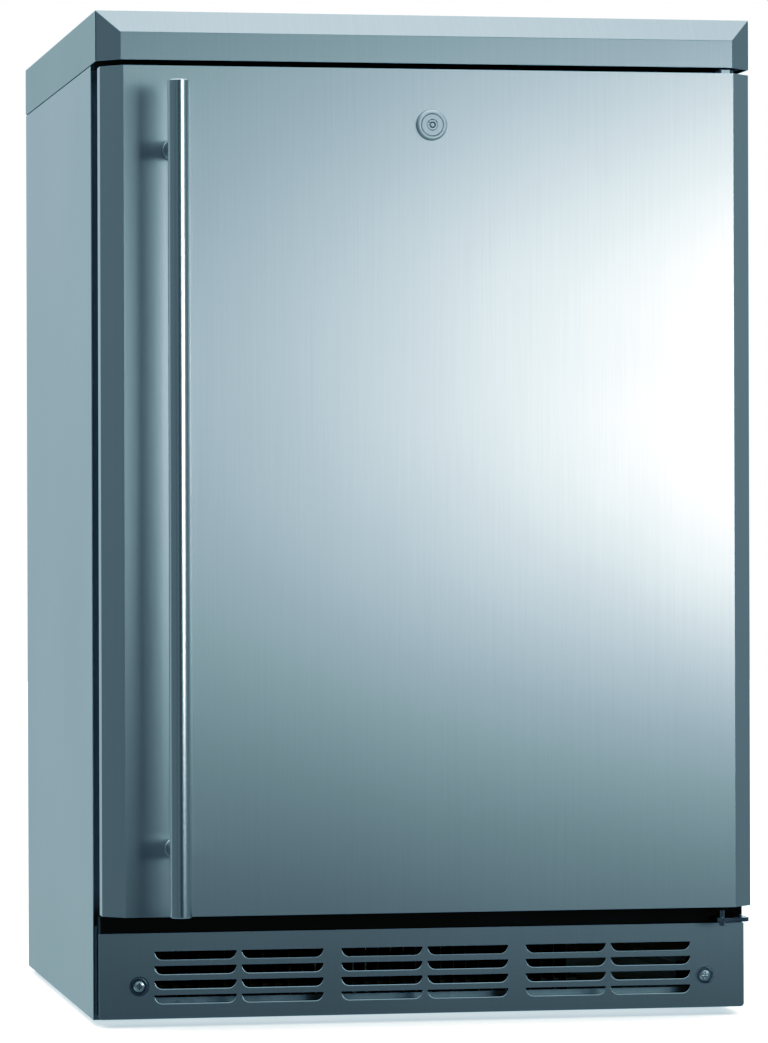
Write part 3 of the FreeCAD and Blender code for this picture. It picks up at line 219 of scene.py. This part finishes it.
SLOT_LOOK = {
    "stainless": "panel", "bright_steel": "bright", "zinc_steel": "zinc", "board": "board",
    "foam": "foam", "white_plastic": "liner", "black_plastic": "black",
    "gasket_rubber": "rubber", "shelf_coating": "wire", "black_paint": "paint",
    "fin_aluminium": "fins", "copper": "copper", "lens": "lens", "circuit_board": "circuit",
}
NODE_LOOK = {"door_skin": "door", "worktop_skin": "top", "kick_plate": "kick",
             # The hinges and hinge screws take the darkened hinge steel as painted shade in their
             # recesses.
             "handle_bar": "bar", "hinge_top": "hinge", "hinge_bottom": "hinge",
             # The condenser is black paint, which also stands in for the shade inside the kick
             # plate slots.
             # The kick cups take the darkened pressed steel as painted shade inside the recessed
             # cups.
             "hinge_screws": "hinge", "kick_cups": "cup", "condenser": "paint",
             "lock_bezel": "satin", "lock_barrel": "satin", "lock_core": "bright",
             # The hinge bushes take the black plastic look as painted shade under the door.
             # The worktop core board takes the near-black rubber look as painted shade in the gap
             # under the worktop front.
             "worktop_core": "rubber", "hinge_bushes": "black",
             # The front frame takes the near-black frame steel as painted shade in the gap round
             # the door.
             "front_frame": "frame"}
for entry in frame["record"]["subparts"]:
    node = frame["nodes"][entry["node"]]
    look = NODE_LOOK.get(entry["node"], SLOT_LOOK[entry["material_slot"]])
    for slot in node.material_slots:
        slot.material = looks[look]


BEND_WIDTHS = {"door_skin": 1.0, "worktop_skin": 1.2, "side_panel_left": 0.35,
               "side_panel_right": 0.35, "kick_plate": 0.4}


def soften(node, width):
    """Give the folds of a sheet metal node their small bend radius."""
    item = frame["nodes"][node]
    weld = item.modifiers.new("join", "WELD")
    weld.merge_threshold = 0.00001
    flats = item.modifiers.new("flats", "DECIMATE")
    flats.decimate_type = "DISSOLVE"
    flats.angle_limit = math.radians(0.5)
    bevel = item.modifiers.new("bend", "BEVEL")
    bevel.width = width
    bevel.segments = 2
    bevel.limit_method = "ANGLE"
    bevel.angle_limit = math.radians(30)
    shading = item.modifiers.new("shading", "WEIGHTED_NORMAL")
    shading.weight = 100


for node, width in BEND_WIDTHS.items():
    soften(node, width * MM)


# ---------------------------------------------------------------- mesh helpers

def add_piece(name, body, look, shape, sharp=35):
    """Turn a bmesh into a smooth-shaded piece that rides on a body."""
    bmesh.ops.recalc_face_normals(shape, faces=shape.faces)
    mesh = bpy.data.meshes.new(name)
    shape.to_mesh(mesh)
    shape.free()
    mesh.shade_smooth()
    mesh.set_sharp_from_angle(angle=math.radians(sharp))
    mesh.materials.append(looks[look])
    piece = bpy.data.objects.new(name, mesh)
    bpy.context.scene.collection.objects.link(piece)
    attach(piece, body)
    return piece


def add_ring(shape, middle, across, other, radius, sides):
    """Circle of vertices in the plane of two directions."""
    turns = [2 * math.pi * step / sides for step in range(sides)]
    return [shape.verts.new(middle + radius * (across * math.cos(turn) + other * math.sin(turn)))
            for turn in turns]


def bridge_rings(shape, rings, closed=False):
    """Quads between rings of vertices that have the same count."""
    following = rings[1:] + rings[:1] if closed else rings[1:]
    for first, second in zip(rings, following):
        for i in range(len(first)):
            j = (i + 1) % len(first)
            shape.faces.new((first[i], first[j], second[j], second[i]))


def add_tube(shape, points, radius, sides=8):
    """Round bar along a path, with flat ends."""
    points = [Vector(point) for point in points]
    rings = []
    across = (points[1] - points[0]).orthogonal()
    for i, point in enumerate(points):
        before = points[max(i - 1, 0)]
        after = points[min(i + 1, len(points) - 1)]
        ahead = (after - before).normalized()
        across = (across - ahead * across.dot(ahead)).normalized()
        other = ahead.cross(across)
        rings.append(add_ring(shape, point, across, other, radius, sides))
    bridge_rings(shape, rings)
    shape.faces.new(rings[0])
    shape.faces.new(rings[-1])


def add_turned(shape, centre, axis, outline, sides=36):
    """Solid of revolution. The outline gives (radius, level) pairs along the axis."""
    axis = Vector(axis)
    across = axis.orthogonal().normalized()
    other = axis.cross(across)
    rings = []
    for radius, level in outline:
        middle = Vector(centre) + axis * level
        rings.append(add_ring(shape, middle, across, other, radius, sides))
    bridge_rings(shape, rings)
    shape.faces.new(rings[0])
    shape.faces.new(rings[-1])


def add_pan_head(shape, centre, axis, diameter, height):
    """Domed screw head whose seat is at its centre."""
    radius = diameter / 2
    profile = [(1, 0), (1, 0.25), (0.92, 0.55), (0.72, 0.82), (0.4, 0.97), (0.22, 1), (0.2, 0.45)]
    outline = [(radius * outward, height * level) for outward, level in profile]
    add_turned(shape, centre, axis, outline)


def add_frame_ring(shape, half_width, low, high, outline):
    """Mitred rectangular ring. The outline gives (outward, depth) pairs of its section."""
    rings = []
    for outward, depth in outline:
        wide = half_width + outward
        rings.append([shape.verts.new(corner) for corner in (
            (-wide, depth, low - outward), (wide, depth, low - outward),
            (wide, depth, high + outward), (-wide, depth, high + outward))])
    bridge_rings(shape, rings, closed=True)


# ---------------------------------------------------------------- detail on the CAD parts

SLOT_LEFT = -0.2473
SLOT_TOP = 0.0165
SLOT_WIDTH = 0.0746
SLOT_HEIGHT = 0.008
SLOT_CORNER = 0.0074
SLOT_GROUP_PITCH = 0.1702
SLOT_PAIR_PITCH = 0.0792
SLOT_ROW_PITCH = 0.0131
LIP_RADIUS = 0.00065


def slot_lower_edge(left, bottom, depth):
    """Path along a slot's bottom edge, from one rounded corner to the other."""
    path = []
    for middle, start in ((left + SLOT_CORNER, 190), (left + SLOT_WIDTH - SLOT_CORNER, 270)):
        for step in range(9):
            turn = math.radians(start + 10 * step)
            path.append((middle + SLOT_CORNER * math.cos(turn), depth,
                         bottom + SLOT_CORNER + SLOT_CORNER * math.sin(turn)))
    return path


def add_slot_lips():
    """Rolled lip round the lower edge of every kick plate slot."""
    low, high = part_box("kick_plate")
    depth = low.y + 0.0001
    shape = bmesh.new()
    for group in range(3):
        for pair in range(2):
            for row in range(4):
                left = SLOT_LEFT + SLOT_GROUP_PITCH * group + SLOT_PAIR_PITCH * pair
                bottom = high.z - SLOT_TOP - SLOT_ROW_PITCH * row - SLOT_HEIGHT
                add_tube(shape, slot_lower_edge(left, bottom, depth), LIP_RADIUS)
    add_piece("kick_slot_lips", "cabinet", "bright", shape)


def add_corner_shade_lines():
    """Thin dark tube down the rear edge of each corner facet of the worktop, painted shade for the
    joint there.
    """
    low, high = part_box("worktop_skin")
    radius = 0.0005
    facet_end = low.y + 0.0199
    shape = bmesh.new()
    for side in (low.x + radius, high.x - radius):
        bottom, top = low.z + 0.0006, high.z - 0.0012
        add_tube(shape, [(side, facet_end, bottom), (side, facet_end, top)], radius)
    # Near-black rubber look: painted shade of the joint.
    add_piece("worktop_corner_shade_lines", "cabinet", "rubber", shape)


def add_gasket():
    """Door gasket with its clip foot, bellows folds and magnet head."""
    low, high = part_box("door_gasket")
    clip_foot = [(4.5, 0), (4.8, 2.0), (3.2, 4.0), (3.0, 5.5)]
    bellows = [(6.2, 8.0), (6.6, 9.2), (3.4, 11.2), (3.2, 12.4)]
    magnet_head = [(6.8, 14.4), (7.9, 16.6), (8.25, 18.6), (8.1, 20.6), (7.2, 21.8), (4.0, 22.4)]
    half_width, free_depth = 8.25, 22.4
    outline = [(across * MM, low.y + (high.y - low.y) * level / free_depth)
               for across, level in clip_foot + bellows + magnet_head]
    outline += [(-across, depth) for across, depth in reversed(outline)]
    inset = half_width * MM
    shape = bmesh.new()
    add_frame_ring(shape, high.x - inset, low.z + inset, high.z - inset, outline)
    gasket = add_piece("gasket_bellows", "door", "gasket", shape, 50)
    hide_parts("door_gasket")


REAR_SCREW_HEAD = (0.0075, 0.0024)
PANEL_SCREW_HEIGHTS = (0.31, 0.45, 0.59, 0.73, 0.85)
GRILLE_SCREW_HEIGHTS = (0.04, 0.155, 0.272)


def add_rear_screws():
    """Pan-head screws round the rear sheets."""
    panel_low, panel_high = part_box("back_panel")
    grille_low, grille_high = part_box("rear_grille")
    edge = 0.008
    column = panel_high.x - 0.009
    spots = []
    for side in (-column, column):
        spots += [(side, panel_high.y, height) for height in PANEL_SCREW_HEIGHTS]
        spots += [(side, grille_high.y, height) for height in GRILLE_SCREW_HEIGHTS]
    for across in (-0.18, 0, 0.18):
        spots.append((across, panel_high.y, panel_high.z - edge))
        spots.append((across, panel_high.y, panel_low.z + edge))
        spots.append((across, grille_high.y, grille_low.z + edge))
    shape = bmesh.new()
    for spot in spots:
        add_pan_head(shape, spot, (0, 1, 0), *REAR_SCREW_HEAD)
    add_piece("rear_screws", "cabinet", "bright", shape)


def add_dial_marks():
    """Tick marks round the thermostat dial and the pointer on its grip."""
    low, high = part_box("thermostat_dial")
    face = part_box("control_housing")[0].y
    middle = Vector(((low.x + high.x) / 2, face, (low.z + high.z) / 2))
    first_turn, turn_step = 225, 33.75
    tick_start, short_end, long_end = 0.0172, 0.0198, 0.0212
    ticks = bmesh.new()
    for step in range(9):
        turn = math.radians(first_turn - turn_step * step)
        ahead = Vector((math.cos(turn), 0, math.sin(turn)))
        tick_end = short_end if step % 2 else long_end
        add_tube(ticks, [middle + ahead * tick_start, middle + ahead * tick_end], 0.0005)
    add_piece("dial_ticks", "cabinet", "black", ticks)

    pointer_depth = low.y + 0.0001
    pointer = bmesh.new()
    add_tube(pointer, [(middle.x, pointer_depth, middle.z + 0.003),
                       (middle.x, pointer_depth, middle.z + 0.0115)], 0.0007)
    add_piece("dial_pointer", "thermostat_dial", "liner", pointer)


add_slot_lips()
add_corner_shade_lines()
add_gasket()
add_rear_screws()
add_dial_marks()


# ---------------------------------------------------------------- camera, light and floor

CAMERA_PLACE = (-0.819, -4.534, 0.4558)
CAMERA_LENS = 166.5
CAMERA_YAW, CAMERA_PITCH, CAMERA_ROLL = 0.1802, -0.0006, -0.003
# Pairs of scene light and printed value for the film response.
RED_RESPONSE = [(0.026, 0.0075), (0.112, 0.053), (0.178, 0.093), (0.361, 0.223), (0.52, 0.36),
                (0.72, 0.59), (0.905, 0.84)]
GREEN_RESPONSE = [(0.006, 0.0015), (0.026, 0.015), (0.112, 0.091), (0.361, 0.328),
                  (0.52, 0.468), (0.72, 0.68), (0.905, 0.896)]
BLUE_RESPONSE = [(0.007, 0.0015), (0.03, 0.027), (0.08, 0.08), (0.5, 0.5)]


def add_camera():
    """Camera at the height of the door's middle, a little to the left."""
    ahead = Vector((math.sin(CAMERA_YAW) * math.cos(CAMERA_PITCH),
                    math.cos(CAMERA_YAW) * math.cos(CAMERA_PITCH), math.sin(CAMERA_PITCH)))
    level = Vector((math.cos(CAMERA_YAW), -math.sin(CAMERA_YAW), 0))
    upright = level.cross(ahead)
    right = level * math.cos(CAMERA_ROLL) + upright * math.sin(CAMERA_ROLL)
    up = upright * math.cos(CAMERA_ROLL) - level * math.sin(CAMERA_ROLL)
    data = bpy.data.cameras.new("camera")
    data.lens = CAMERA_LENS
    data.sensor_width = 36
    data.clip_end = 100
    camera = bpy.data.objects.new("camera", data)
    axes = Matrix((right, up, -ahead)).transposed().to_4x4()
    camera.matrix_world = Matrix.Translation(CAMERA_PLACE) @ axes
    bpy.context.scene.collection.objects.link(camera)
    bpy.context.scene.camera = camera


def softbox(name, position, width, height, power):
    """Soft rectangular light in front of the object, facing the backdrop."""
    data = bpy.data.lights.new(name, "AREA")
    data.shape = "RECTANGLE"
    data.size, data.size_y = width, height
    data.energy = power
    light = bpy.data.objects.new(name, data)
    light.location = position
    light.rotation_euler = Vector((0, 1, 0)).to_track_quat("-Z", "Y").to_euler()
    bpy.context.scene.collection.objects.link(light)


# What the steel mirrors: brightness along each axis of a direction, from its low end to its high.
FRONT_TO_BACK = [(0.0, 0.0), (0.09, 0.0), (0.2, 0.2), (0.48, 0.2), (0.68, 0.19), (0.88, 0.8),
                 (1.0, 1.05)]
FRONT_WALL = [(0.0, 0.22), (0.36, 0.06), (0.44, 0.01), (0.55, 0.04)]
BACK_WALL = [(0.0, 0.5), (0.4, 0.72), (0.55, 0.92)]
FRONT_LEFT_PANEL = [(0.0, 0.0), (0.15, 0.0), (0.25, 0.2), (0.34, 0.14), (0.42, 0.0)]
FRONT_ONLY = [(0.0, 1.0), (0.25, 1.0), (0.45, 0.0)]
CEILING = [(0.0, 0.0), (0.65, 0.0), (0.85, 0.6), (1.0, 1.1)]


def add_world():
    """White backdrop. What the steel mirrors is dark in front, pale behind and bright above."""
    world = bpy.data.worlds.new("studio")
    bpy.context.scene.world = world
    world.use_nodes = True
    tree = world.node_tree
    tree.nodes.clear()

    def node(kind, **settings):
        made = tree.nodes.new("ShaderNode" + kind)
        for name, value in settings.items():
            setattr(made, name, value)
        return made

    def graded(socket, stops):
        """Colour ramp over a direction's part, which runs from -1 to 1."""
        share = node("MapRange")
        share.inputs["From Min"].default_value = -1
        tree.links.new(socket, share.inputs["Value"])
        ramp = node("ValToRGB")
        elements = ramp.color_ramp.elements
        while len(elements) < len(stops):
            elements.new(0.5)
        for element, (position, grey) in zip(elements, stops):
            element.position = position
            element.color = (grey, grey, grey, 1)
        tree.links.new(share.outputs["Result"], ramp.inputs["Fac"])
        return ramp.outputs["Color"]

    def mixed(blend, share, first, second):
        made = node("Mix", data_type="RGBA", blend_type=blend)
        made.inputs[0].default_value = 1
        if share:
            tree.links.new(share, made.inputs[0])
        tree.links.new(first, made.inputs[6])
        tree.links.new(second, made.inputs[7])
        return made.outputs[2]

    coord = node("TexCoord")
    split = node("SeparateXYZ")
    tree.links.new(coord.outputs["Generated"], split.inputs[0])
    walls = mixed("MIX", graded(split.outputs["Y"], FRONT_TO_BACK),
                  graded(split.outputs["Z"], FRONT_WALL), graded(split.outputs["Z"], BACK_WALL))
    panel = mixed("MULTIPLY", None, graded(split.outputs["X"], FRONT_LEFT_PANEL),
                  graded(split.outputs["Y"], FRONT_ONLY))
    above = mixed("ADD", None, panel, graded(split.outputs["Z"], CEILING))
    mirrored = node("Background")
    tree.links.new(mixed("ADD", None, walls, above), mirrored.inputs["Color"])
    seen = node("Background")
    seen.inputs["Color"].default_value = (1, 1, 1, 1)
    seen.inputs["Strength"].default_value = 1.0
    path = node("LightPath")
    choose = node("MixShader")
    tree.links.new(path.outputs["Is Camera Ray"], choose.inputs[0])
    tree.links.new(mirrored.outputs[0], choose.inputs[1])
    tree.links.new(seen.outputs[0], choose.inputs[2])
    output = node("OutputWorld")
    tree.links.new(choose.outputs[0], output.inputs["Surface"])


def add_floor():
    """Pale round floor that melts into the white backdrop."""
    mesh = bpy.data.meshes.new("studio_floor")
    shape = bmesh.new()
    bmesh.ops.create_circle(shape, cap_ends=True, radius=9, segments=96)
    shape.to_mesh(mesh)
    shape.free()
    floor = bpy.data.objects.new("studio_floor", mesh)
    look = Look("pale_floor")
    clouds = look.noise(look.place(), 1.5, 3.0)
    look.set(Base_Color=look.tones(look.spread(clouds, 0, 1), (0.86, 0.87, 0.88),
                                   (0.90, 0.905, 0.91)), Roughness=0.7)
    look.set(Emission_Color=(1, 1, 1, 1), Emission_Strength=0.6)
    mesh.materials.append(look.material)
    floor.visible_glossy = False
    bpy.context.scene.collection.objects.link(floor)


def cool_print():
    """Film response: shadows turn blue-green while the highlights stay white."""
    settings = bpy.context.scene.view_settings
    settings.view_transform = "Standard"
    settings.use_curve_mapping = True
    responses = (RED_RESPONSE, GREEN_RESPONSE, BLUE_RESPONSE)
    for curve, points in zip(settings.curve_mapping.curves, responses):
        for light, value in points:
            curve.points.new(light, value)
    settings.curve_mapping.update()


add_camera()
add_world()
add_floor()
cool_print()
softbox("key", (1.75, -3.28, 0.59), 1.90, 0.83, 14.3)
softbox("key_skirt", (1.95, -3.42, 1.03), 2.41, 1.35, 14.0)
